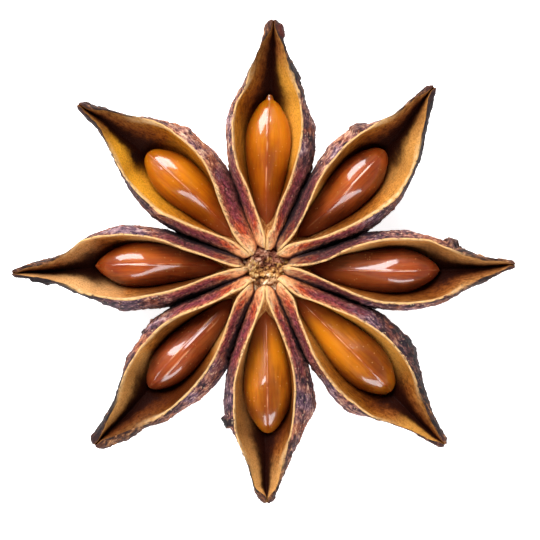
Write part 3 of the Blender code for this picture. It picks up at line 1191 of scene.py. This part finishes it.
    def build(self) -> None:
        """Rolls a grid into the shell and gives it its relief."""
        husk = self.husk
        bm = bmesh.new()
        bmesh.ops.create_grid(bm, x_segments=husk.around, y_segments=husk.rings, size=1)
        layers = {
            name: bm.verts.layers.float.new(name)
            for name in ("along", "drop", "depth", "lining", "across")
        }
        places = np.array([v.co[:2] for v in bm.verts])
        turn = (places[:, 0] + 1) / 2
        run = (places[:, 1] + 1) / 2
        along = husk.first + (self.length - husk.first) * (0.25 * run**2 + 0.75 * run)
        measured = self.section(along, turn)
        spots = self.to_plan(along, measured["left"], measured["height"]) * MM
        for vert, spot, row in zip(bm.verts, spots, range(len(spots))):
            vert.co = spot
            vert[layers["along"]] = along[row]
            for name in ("drop", "depth", "lining", "across"):
                vert[layers[name]] = measured[name][row]
        bmesh.ops.remove_doubles(bm, verts=bm.verts, dist=1e-8)
        bmesh.ops.holes_fill(bm, edges=[e for e in bm.edges if e.is_boundary], sides=0)
        lining = layers["lining"]
        for face in bm.faces:
            face.material_index = int(all(v[lining] > 0.5 for v in face.verts))
        self.piece.adopt(bm)
        self.carve()

    def local(self, points: Array) -> Array:
        """Turns places in the frame into the follicle's own: along, left and height."""
        turned = math.radians(self.azimuth)
        return np.stack(
            [
                points[:, 0] * math.cos(turned) + points[:, 1] * math.sin(turned),
                points[:, 1] * math.cos(turned) - points[:, 0] * math.sin(turned),
                points[:, 2],
            ],
            axis=1,
        )

    def carve(self) -> None:
        """Moves the surface by its wrinkles, scales and grain."""
        piece = self.piece
        points = piece.points()
        normals = piece.normals()
        lining = piece.read("lining")
        drop = piece.read("drop")
        along = piece.read("along")
        grain = self.grain
        own = self.local(points)
        outside = 1 - lining
        away = smooth(0.0, 0.45, drop)
        tame = 0.25 + 0.75 * smooth(2.0, 4.5, along)
        wrinkle = grain.layered(own * np.array([0.6, 1, 1]), 1.5, 3)
        height, plate = grain.plates(own * np.array([0.55, 1, 1]) + 40, 0.42)
        small, chip = grain.plates(own * np.array([0.8, 1, 1]) + 90, 0.17, 0.35)
        lumps = grain(own + 7, 0.26)
        scaled = 0.035 * height * plate - 0.03 * (1 - plate)
        chipped = 0.024 * small * chip - 0.016 * (1 - chip)
        raised = (scaled + chipped + 0.012 * lumps) / 0.05
        bulk = away * (0.08 * wrinkle + scaled + chipped + 0.035 * lumps) + 0.03 * (1 - away)
        bulk += away * 0.06 * grain(own * np.array([0.15, 1, 1]) + 33, 0.24) * smooth(9.0, 12.5, along)
        inner = np.clip(drop / 0.8, 0, 1) * 0.03 * grain(own, 1.4)
        moved = points + normals * (outside * bulk * tame + lining * inner)[:, None]

        stain = np.zeros(len(points))
        colour = np.zeros((len(points), 3))
        turned = math.radians(self.azimuth)
        ahead = np.array([math.cos(turned), math.sin(turned), 0])
        leftward = np.array([-math.sin(turned), math.cos(turned), 0])
        for mark in self.shape.blemishes:
            sign = math.copysign(1, mark.left)
            span_along = (own[:, 0] - mark.along) / mark.reach
            span_left = (own[:, 1] - mark.left) / (0.55 * mark.reach + 0.12)
            ragged = 0.8 if mark.inside else 0.25
            off = np.sqrt(span_along**2 + span_left**2) + ragged * grain(own + 23, 0.22)
            on_skin = outside * smooth(2.6, 1.8, drop)
            bump = smooth(1.15, 0.75, off) * (lining if mark.inside else on_skin)
            lift = bump * mark.rise
            outwards = -0.3 if mark.inside else 0.8
            moved += (leftward * sign * outwards + np.array([0, 0, 0.5]))[None, :] * lift[:, None]
            moved += ahead[None, :] * (lift * 0.2)[:, None]
            colour[bump > 0] = linear(mark.colour)[:3]
            stain = np.maximum(stain, bump * mark.stain)

        near_edge = np.exp(-((drop / 0.12) ** 2))
        flat = own * np.array([1, 0.2, 0])
        moved[:, 2] += near_edge * 0.07 * grain(flat + 11, 0.9)
        nick = 0.03 * grain(flat + 61, 1.1) + 0.022 * grain(flat + 71, 0.3)
        nick *= smooth(3.0, 5.0, along) * (1 + 0.9 * smooth(9.0, 12.0, along))
        moved += leftward[None, :] * (near_edge * nick)[:, None]
        moved[:, 2] = np.maximum(moved[:, 2], 0.0)
        piece.move_to(moved)
        piece.mark("stain", stain)
        piece.mark_place("mark", colour)
        piece.mark_place("own_place", own)
        piece.mark("raised", np.clip(raised, -1, 1))
        piece.mark("age", np.full(len(points), self.shape.age))
        on_left = smooth(-0.3, 0.3, own[:, 1] - self.middle(along))
        left, right = self.shape.left, self.shape.right
        # Each side's lining and skin are painted paler or darker, as painted light and shade.
        tone = on_left * shade_of(left.tone, along) + (1 - on_left) * shade_of(right.tone, along)
        piece.mark("tone", tone * smooth(0.95, 0.5, piece.read("depth")))
        skin_light_and_shade = on_left * shade_of(left.skin_light_and_shade, along) + (1 - on_left) * shade_of(right.skin_light_and_shade, along)
        piece.mark("skin_light_and_shade", skin_light_and_shade)
        piece.mark("past", along - self.bed.end)
        piece.mark("tip", 0.5 * smooth(0.9, 0.1, self.length - along))

    def dress(self, skin: bpy.types.Material, lining: bpy.types.Material) -> None:
        """Gives the shell its two finishes and its place in the frame.

        Args:
            skin: The outside.
            lining: The hollow.
        """
        self.piece.dress(skin, lining)
        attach(self.piece.thing, "root")
        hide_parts(self.node)


# --- The seeds ---------------------------------------------------------------------


class Seed:
    """The polished seed of one follicle, on edge, with its seam on top."""

    AROUND = 96
    RINGS = 80
    KEEL = 2.9
    SEAM_HIGH = 0.04
    SEAM_WIDE = 0.04
    BAND_WIDE = 0.2

    def __init__(self, follicle: Follicle) -> None:
        """Takes the seed's form from its follicle.

        Args:
            follicle: The follicle that holds it.
        """
        self.follicle = follicle
        self.shape = follicle.shape.seed
        self.form = follicle.bed
        self.node = f"seed_{follicle.shape.number}"
        self.piece = MeshPiece(f"polished_seed_{follicle.shape.number}")

    def build(self) -> None:
        """Shapes a sphere into the seed."""
        bm = bmesh.new()
        bmesh.ops.create_uvsphere(bm, u_segments=self.AROUND, v_segments=self.RINGS, radius=1)
        ball = np.array([v.co[:] for v in bm.verts])
        run = (1 - ball[:, 2]) / 2
        across = np.hypot(ball[:, 0], ball[:, 1])
        # The points crowd towards the ridge, which has the finest detail.
        around = np.arctan2(ball[:, 0], ball[:, 1])
        around = np.sign(around) * math.pi * (np.abs(around) / math.pi) ** 1.4
        sideways, upright = -np.sin(around), np.cos(around)
        form = self.form
        swell = form.swell(run) * (across > 1e-6)
        off_ridge = form.half * swell * sideways
        left = form.centre(run) + off_ridge
        widest = form.RIDGE(run) + self.shape.top - 6.85 - form.CROWN * swell
        point = 1.12 + 1.2 * smooth(0.48, 0.78, run)
        crown = form.CROWN * swell * np.maximum(1 - np.abs(sideways) ** point, 0) ** 0.5
        keel = self.KEEL * swell * (1 - 0.35 * smooth(0.6, 1.0, run)) * np.abs(upright) ** 0.9
        height = widest + np.where(upright > 0, crown, -keel)
        seam = np.zeros(len(run))
        band = np.zeros(len(run))
        for line in self.shape.lines:
            away = off_ridge - line * smooth(0.0, 0.25, run) * smooth(1.0, 0.85, run)
            seam = np.maximum(seam, np.exp(-((away / self.SEAM_WIDE) ** 2)))
            band = np.maximum(band, np.exp(-((away / self.BAND_WIDE) ** 2)))
        ended = (upright > 0) * smooth(0.08, 0.25, run) * smooth(1.0, 0.94, run)
        height += self.SEAM_HIGH * seam * ended
        glow = np.zeros(len(run))
        for patch in self.shape.glows:
            away = np.hypot((run - patch.run) / patch.reach, (sideways - patch.side) / (2 * patch.reach))
            glow += patch.amount * smooth(1.2, 0.2, away) * (upright > 0)
        along = form.start + (form.end - form.start) * run
        along += self.shape.nub * smooth(0.993, 0.9998, run)
        spots = self.follicle.to_plan(along, left, height) * MM
        for vert, spot in zip(bm.verts, spots):
            vert.co = spot
        self.piece.adopt(bm)
        self.piece.mark("seam", seam * ended)
        self.piece.mark("band", band * ended)
        self.piece.mark("glow", np.clip(glow, -1, 1))
        # How far down the flank each place lies, for the coat's painted light on top and painted shade on the
        # flanks.
        self.piece.mark("side", 1 - np.clip(upright, 0, 1) * swell)
        self.piece.mark("run", run)
        place = np.stack([along, off_ridge, np.zeros(len(run))], axis=1)
        self.piece.mark_place("coat_place", place + 10 * self.shape.left)

    def dress(self, coat: bpy.types.Material) -> None:
        """Gives the seed its finish and its place in the frame."""
        self.piece.dress(coat)
        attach(self.piece.thing, "root")
        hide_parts(self.node)


# --- The column --------------------------------------------------------------------


@dataclass
class Column:
    """The short column that the follicles grow from, crumbly on top."""

    radius: float = 1.85
    top: float = 6.3
    scar: float = 0.8
    around: int = 120
    rings: int = 120

    def build(self) -> None:
        """Shapes a sphere into the post and roughens it."""
        self.piece = MeshPiece("pith_column")
        bm = bmesh.new()
        bmesh.ops.create_uvsphere(bm, u_segments=self.around, v_segments=self.rings, radius=1)
        ball = np.array([v.co[:] for v in bm.verts])
        polar = np.arccos(np.clip(ball[:, 2], -1, 1)) / math.pi
        # From the middle of the top out to its rim, down the side, and in over the scar.
        out = np.where(polar < 0.55, polar / 0.55, 1) * self.radius
        out = np.where(polar > 0.7, self.scar + (out - self.scar) * smooth(0.9, 0.7, polar), out)
        out = np.where(polar > 0.9, self.scar * (1 - polar) / 0.1, out)
        height = np.where(polar < 0.55, self.top, self.top * smooth(0.9, 0.55, polar))
        across = np.maximum(np.hypot(ball[:, 0], ball[:, 1]), 1e-9)
        spots = np.stack([out * ball[:, 0] / across, out * ball[:, 1] / across, height], axis=1)
        for vert, spot in zip(bm.verts, spots * MM):
            vert.co = spot
        self.piece.adopt(bm)
        points = self.piece.points()
        grain = Grain(7)
        upper = smooth(4.3, 5.8, points[:, 2])
        reach = np.hypot(points[:, 0], points[:, 1])
        bowl = 0.30 * (1 - np.clip(reach / 1.0, 0, 1) ** 2)
        height, plate = grain.plates(points * np.array([1, 1, 0.3]), 0.34, 0.3)
        small, chip = grain.plates(points * np.array([1, 1, 0.3]) + 50, 0.15, 0.3)
        crumbs = 0.10 * height * plate - 0.10 * (1 - plate) + 0.05 * small * chip - 0.04 * (1 - chip)
        crumbs += 0.18 * grain(points, 0.38) + 0.10 * grain(points, 0.17) + 0.06 * grain(points, 0.09)
        outer = 0.35 * smooth(1.0, 1.3, reach)
        points[:, 2] += upper * (crumbs * smooth(1.5, 1.2, reach) - bowl - outer)
        # Paler toward the south and darker toward the north, for painted light and shade on the top.
        self.piece.mark("painted_light_southward", -0.22 * points[:, 1] / self.scar)
        self.piece.move_to(points)
        self.piece.mark("drop", np.maximum(self.top - 0.6 - points[:, 2], 0))
        self.piece.mark("raised", np.clip(crumbs / 0.3, -1, 1))

    def dress(self, crumb: bpy.types.Material) -> None:
        """Gives the column its finish and its place in the frame."""
        self.piece.dress(crumb)
        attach(self.piece.thing, "root")
        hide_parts("column")


# --- The star ----------------------------------------------------------------------

HONEY, AMBER, RUSSET, MAHOGANY = SeedTint

FOLLICLES = (
    FollicleShape(
        1,
        Side(18.5, (0.06, 0.32, 0.94, 1.39, 1.63, 1.66, 1.60, 1.15, 0.64, 0.26, 0.16),
             (2.15, 2.17, 2.25, 1.97, 1.58, 1.02, 0.51, 0.32), 1.5,
             (1.5, 0.1, 0.4, 0.4, 0.5), (-1.0, 0.2, 0.1, 0.6, 1.0), 1.0),
        Side(22.0, (0.26, 0.83, 1.44, 1.98, 2.30, 2.36, 2.24, 1.92, 1.28, 0.75, 0.26),
             (2.65, 2.84, 2.94, 2.75, 2.30, 1.53, 1.02, 0.37), 1.15,
             (0.0, -0.9, -0.9, 0.0, 0.0), (-0.6, -0.3, 0.1, 0.1, -0.3), 0.9),
        SeedShape(1.15, 1.76, MAHOGANY,
                  peaked=0.1, nub=0.03, glows=(Glow(0.3, -0.45, 0.3, 0.6),
                 Glow(0.65, 0.15, 0.2, 0.4),)),
        0.23,
        0.4,
        0.28,
        0.75,
        (Blemish(12.25, 1.62, 0.65, 0.42, 0.5, "3A2A26"), Blemish(7.9, 2.2, 0.5, 0.06, 0.0)),
    ),
    FollicleShape(
        2,
        Side(17.7, (0.05, 0.32, 0.75, 1.21, 1.44, 1.51, 1.36, 1.02, 0.57, 0.40, 0.22),
             (1.92, 2.17, 2.24, 2.08, 1.28, 0.64, 0.47, 0.38), 1.35,
             (1.2, -0.7, -0.5, -0.5, -0.2), (-1.0, 0.9, 1.6, 1.2, 1.0), 0.9),
        Side(27.8, (0.43, 1.28, 1.92, 2.43, 2.81, 3.03, 2.75, 2.34, 1.60, 0.83, 0.19),
             (3.19, 3.39, 3.42, 3.13, 2.66, 1.92, 1.12, 0.43), 1.2,
             (-0.9, -0.1, 0.6, 0.9, 0.3), (0.5, -0.1, -1.6, -1.9, -1.6), 0.9),
        SeedShape(0.96, 1.92, RUSSET,
                  glows=(Glow(0.55, 0.4, 0.2, 0.5),
                 Glow(0.78, -0.3, 0.25, -0.6),
                 Glow(0.95, 0.2, 0.15, 0.4),)),
        0.28,
        0.7,
        0.38,
        0.45,
        (Blemish(10.7, 1.9, 0.6, 0.16, 0.5, "2A1A18"), Blemish(8.6, 2.3, 0.4, 0.06, 0.0)),
    ),
    FollicleShape(
        3,
        Side(22.5, (0.26, 0.75, 1.28, 1.92, 2.24, 2.34, 2.17, 1.60, 1.21, 0.78, 0.26),
             (2.49, 2.66, 2.77, 2.56, 1.92, 1.28, 0.75, 0.45), 1.3,
             (0.0, 0.4, 0.1, -0.7, -0.7), (0.5, 1.0, 1.1, 0.8, 0.8), 0.2),
        Side(23.5, (0.38, 0.70, 1.21, 1.60, 1.92, 2.03, 1.92, 1.60, 1.07, 0.70, 0.32),
             (2.75, 2.94, 2.98, 2.49, 1.95, 1.44, 0.83, 0.69), 1.1,
             (-0.6, 1.3, 1.6, 1.1, 0.0), (0.5, -0.5, -0.2, -1.0, -0.8), 0.5),
        SeedShape(1.56, 1.41, HONEY, lines=(0.05,), nub=0.3,
                  glows=(Glow(0.5, -0.15, 0.2, -0.5),
                 Glow(0.85, 0.5, 0.3, 0.5),
                 Glow(0.97, -0.2, 0.3, 0.5),
                 Glow(0.75, -0.9, 0.35, 0.7),)),
        0.3,
        0.2,
        0.5,
        0.15,
        (
            Blemish(11.3, -2.0, 0.35, 0.10, 0.3),
            Blemish(12.3, -1.65, 0.35, 0.10, 0.2),
            Blemish(15.15, -0.55, 0.5, 0.2, 0.45, "6A1C08"),
        ),
    ),
    FollicleShape(
        4,
        Side(20.2, (0.10, 0.51, 1.02, 1.44, 1.79, 1.72, 1.53, 1.15, 0.62, 0.19, 0.06),
             (2.15, 2.30, 2.15, 1.79, 1.28, 0.67, 0.32, 0.24), 1.25,
             (-0.2, 0.8, 1.6, 1.6, 0.1), (0.5, 0.0, -1.2, -1.0, -0.6), 0.6),
        Side(28.3, (0.13, 0.64, 1.28, 2.02, 2.49, 2.62, 2.54, 2.24, 1.47, 0.89, 0.26),
             (3.26, 3.45, 3.45, 3.13, 2.47, 1.60, 0.96, 0.43), 1.1,
             (-0.1, 0.1, 0.2, -0.9, -0.8), (0.2, 1.3, 1.5, 0.0, 0.0), 0.1),
        SeedShape(0.96, 2.01, HONEY,
                  glows=(Glow(0.65, -0.5, 0.3, 0.6),
                 Glow(0.9, 0.5, 0.25, 0.3),
                 Glow(0.3, -0.5, 0.25, -0.5),
                 Glow(0.5, 0.2, 0.25, -0.3),)),
        0.25,
        0.6,
        0.24,
        0.0,
        (
            Blemish(9.6, -3.35, 0.30, 0.14, 0.0),
            Blemish(10.95, 0.10, 0.36, 0.12, 0.9, "1A0806", inside=True),
        ),
    ),
    FollicleShape(
        5,
        Side(21.1, (0.19, 0.57, 1.07, 1.44, 1.66, 1.82, 1.66, 1.34, 0.75, 0.38, 0.13),
             (2.45, 2.56, 2.57, 2.17, 1.60, 0.96, 0.51, 0.32), 1.15,
             (-1.3, -1.0, 0.8, 1.5, 0.9), (0.4, -0.1, -0.9, -1.8, -1.2), 0.9),
        Side(22.4, (0.26, 0.75, 1.21, 1.76, 2.11, 2.25, 2.17, 1.98, 1.07, 0.48, 0.26),
             (2.59, 2.81, 2.86, 2.59, 2.08, 1.15, 0.80, 0.51), 1.45,
             (1.2, 0.8, -0.2, 0.5, -0.2), (-0.7, 0.5, 0.5, 0.4, 0.4), 1.0),
        SeedShape(1.09, 1.79, RUSSET,
                  peaked=0.14, nub=0.06, glows=(Glow(0.42, 0.05, 0.15, 0.4),
                 Glow(0.65, -0.5, 0.3, 0.7),
                 Glow(0.35, -0.7, 0.3, -0.6),)),
        0.22,
        0.3,
        0.28,
        0.85,
        (
            Blemish(14.5, 0.75, 0.8, 0.22, 0.3),
        ),
    ),
    FollicleShape(
        6,
        Side(22.0, (0.06, 0.51, 1.12, 1.60, 1.90, 1.98, 1.90, 1.71, 1.21, 0.64, 0.38),
             (2.68, 2.87, 2.87, 2.56, 2.24, 1.53, 1.26, 0.69), 1.4,
             (1.0, -1.4, -1.6, -1.1, -1.1), (0.0, 0.3, 0.6, 0.4, 0.7), 1.0),
        Side(24.5, (0.32, 0.75, 1.34, 1.92, 2.17, 2.17, 1.92, 1.53, 0.83, 0.48, 0.32),
             (2.62, 2.85, 2.62, 2.43, 1.76, 1.12, 0.70, 0.38), 1.1,
             (-1.0, -1.0, 0.8, 0.9, 0.7), (0.2, 0.2, 0.0, -1.9, -1.0), 0.8),
        SeedShape(1.31, 1.41, MAHOGANY, lines=(0.22, -0.22),
                  peaked=0.05, glows=(Glow(0.3, 0.4, 0.3, 0.4),
                 Glow(0.72, -0.2, 0.25, 0.4),
                 Glow(0.8, 0.9, 0.3, 0.5),)),
        -0.36,
        0.1,
        0.50,
        0.6,
        (
            Blemish(8.35, -2.8, 0.18, 0.14, 0.9),
            Blemish(13.6, 1.2, 0.6, 0.08, 0.3),
            Blemish(11.5, 1.15, 0.30, 0.12, 0.0, inside=True),
            Blemish(12.1, 0.95, 0.30, 0.14, 0.0, inside=True),
            Blemish(12.7, 0.72, 0.30, 0.12, 0.0, inside=True),
        ),
    ),
    FollicleShape(
        7,
        Side(23.2, (0.26, 0.80, 1.28, 1.66, 1.79, 1.72, 1.60, 1.28, 0.89, 0.57, 0.30),
             (2.71, 3.00, 3.13, 2.54, 1.83, 1.21, 0.72, 0.40), 1.25,
             (0.0, -0.3, -1.3, -0.1, 0.9), (0.2, 0.0, 0.0, 0.5, 0.5), 0.6),
        Side(22.2, (0.26, 0.75, 1.28, 1.71, 1.98, 2.00, 1.92, 1.60, 1.12, 0.75, 0.30),
             (2.45, 2.59, 2.68, 2.34, 1.66, 1.15, 0.80, 0.45), 1.3,
             (0.9, 0.4, 0.5, 0.7, 1.6), (0.2, -0.4, -0.2, 0.0, 0.0), 0.3),
        SeedShape(1.66, 1.47, AMBER, 1.5,
                  peaked=0.06, glows=(Glow(0.3, 0.45, 0.3, 0.7),
                 Glow(0.5, -0.5, 0.3, 0.5),
                 Glow(0.68, 0.05, 0.34, -0.7),)),
        -0.38,
        0.0,
        0.46,
        0.65,
        (Blemish(9.9, -2.45, 0.40, 0.36, 1.0),),
    ),
    FollicleShape(
        8,
        Side(23.1, (0.11, 0.64, 1.21, 1.76, 2.08, 2.22, 2.11, 1.76, 1.12, 0.57, 0.19),
             (2.75, 3.13, 3.23, 3.11, 2.43, 1.66, 0.96, 0.57), 1.05,
             (1.0, 0.9, 1.1, 0.1, -0.5), (0.2, 0.0, -1.2, -0.9, -0.2), 0.3),
        Side(21.6, (0.08, 0.70, 1.26, 1.79, 2.11, 2.24, 2.11, 1.92, 1.34, 0.80, 0.32),
             (2.43, 2.62, 2.81, 2.79, 2.08, 1.28, 0.80, 0.51), 1.4,
             (0.7, 0.0, -0.5, -0.4, 0.9), (0.2, -0.3, 0.6, 0.5, 0.5), 0.4),
        SeedShape(1.66, 1.47, AMBER, 1.8,
                  glows=(Glow(0.38, -0.45, 0.32, 1.0),
                 Glow(0.45, 0.45, 0.3, 0.3),
                 Glow(0.64, 0.3, 0.25, -0.4),
                 Glow(0.82, 0.4, 0.3, -0.6),)),
        -0.23,
        0.3,
        0.42,
        0.3,
        (
            Blemish(7.6, 3.0, 0.3, 0.10, 0.5),
            Blemish(8.7, 3.1, 0.3, 0.08, 0.6),
            Blemish(9.8, 3.1, 0.35, 0.12, 0.5),
            Blemish(10.6, 2.8, 0.35, 0.10, 0.6),
        ),
    ),
)


# --- The studio --------------------------------------------------------------------


@dataclass(frozen=True)
class Softbox:
    """A square studio light."""

    name: str
    azimuth: float
    elevation: float
    distance: float  # in metres, as are the sides
    width: float
    depth: float
    power: float

    def place(self) -> None:
        """Adds the light, aimed at the star."""
        data = bpy.data.lights.new(self.name, "AREA")
        data.shape = "RECTANGLE"
        data.size = self.width
        data.size_y = self.depth
        data.energy = self.power
        data.color = (1.0, 0.97, 1.0)
        light = bpy.data.objects.new(self.name, data)
        turned, lifted = math.radians(self.azimuth), math.radians(self.elevation)
        towards = Vector(
            (
                math.cos(turned) * math.cos(lifted),
                math.sin(turned) * math.cos(lifted),
                math.sin(lifted),
            )
        )
        light.location = towards * self.distance
        light.rotation_euler = towards.to_track_quat("Z", "Y").to_euler()
        bpy.context.scene.collection.objects.link(light)


@dataclass(frozen=True)
class Studio:
    """The pale table, the two softboxes and the camera straight above."""

    lens: float = 200.0
    sensor: float = 36.0
    frame_width: float = 34.45
    rim_height: float = 7.4
    aim: tuple[float, float] = (0.32, -0.19)
    horizon: float = 0.5  # how bright the white tent is low down, and overhead
    zenith: float = 0.06
    glow: float = 0.85
    softboxes: tuple[Softbox, ...] = (
        Softbox("key_softbox", 115, 41, 0.24, 0.19, 0.19, 1.25),
        Softbox("fill_softbox", 280, 30, 0.24, 0.18, 0.16, 0.60),
    )

    def build(self) -> None:
        """Sets up the whole studio."""
        self.floor()
        for softbox in self.softboxes:
            softbox.place()
        self.camera()
        scene = bpy.context.scene
        scene.world = self.tent()
        scene.view_settings.view_transform = "Standard"

    def tent(self) -> bpy.types.World:
        """A white tent all round, with a dark opening overhead.

        Returns:
            The world.
        """
        world = bpy.data.worlds.new("white_tent")
        world.use_nodes = True
        tree = world.node_tree
        background = tree.nodes["Background"]
        background.inputs["Color"].default_value = (0.97, 0.97, 1, 1)
        place = tree.nodes.new("ShaderNodeTexCoord")
        parts = tree.nodes.new("ShaderNodeSeparateXYZ")
        fade = tree.nodes.new("ShaderNodeMapRange")
        ends = {"From Min": 0.2, "From Max": 0.85, "To Min": self.horizon, "To Max": self.zenith}
        for name, value in ends.items():
            fade.inputs[name].default_value = value
        tree.links.new(place.outputs["Generated"], parts.inputs[0])
        tree.links.new(parts.outputs["Z"], fade.inputs["Value"])
        tree.links.new(fade.outputs["Result"], background.inputs["Strength"])
        return world

    def floor(self) -> None:
        """Lays the pale table top."""
        bm = bmesh.new()
        bmesh.ops.create_grid(bm, x_segments=1, y_segments=1, size=2)
        mesh = bpy.data.meshes.new("table_top")
        bm.to_mesh(mesh)
        bm.free()
        table = bpy.data.objects.new("table_top", mesh)
        bpy.context.scene.collection.objects.link(table)
        finish = Finish("white_matt_laminate")
        finish.set(Base_Color=linear("F4F3F1"), Roughness=0.9, Specular_IOR_Level=0.1)
        finish.set(Emission_Color=(1, 1, 1, 1), Emission_Strength=self.glow)
        mesh.materials.append(finish.material)

    def camera(self) -> None:
        """Hangs the camera over the star."""
        data = bpy.data.cameras.new("overhead_camera")
        data.lens = self.lens
        data.sensor_width = self.sensor
        data.clip_start = 0.005
        data.clip_end = 10
        camera = bpy.data.objects.new("overhead_camera", data)
        away = self.frame_width * self.lens / self.sensor + self.rim_height
        camera.location = Vector((*self.aim, away)) * MM
        bpy.context.scene.collection.objects.link(camera)
        bpy.context.scene.camera = camera


def main() -> None:
    """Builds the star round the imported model, then the studio."""
    logging.basicConfig(level=logging.INFO, format="%(name)s: %(message)s")
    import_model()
    skin = DriedSkin().make()
    lining = Lining().make()
    coats = {tint: SeedCoat(tint).make() for tint in SeedTint}
    husk = Husk()
    for shape in FOLLICLES:
        follicle = Follicle(shape, husk)
        follicle.build()
        follicle.dress(skin, lining)
        log.info("%s: %d faces", follicle.piece.name, len(follicle.piece.mesh.polygons))
        seed = Seed(follicle)
        seed.build()
        seed.dress(coats[shape.seed.tint])
        log.info("%s: %d faces", seed.piece.name, len(seed.piece.mesh.polygons))
    column = Column()
    column.build()
    column.dress(Crumb().make())
    log.info("%s: %d faces", column.piece.name, len(column.piece.mesh.polygons))
    Studio().build()


if __name__ == "__main__":
    main()
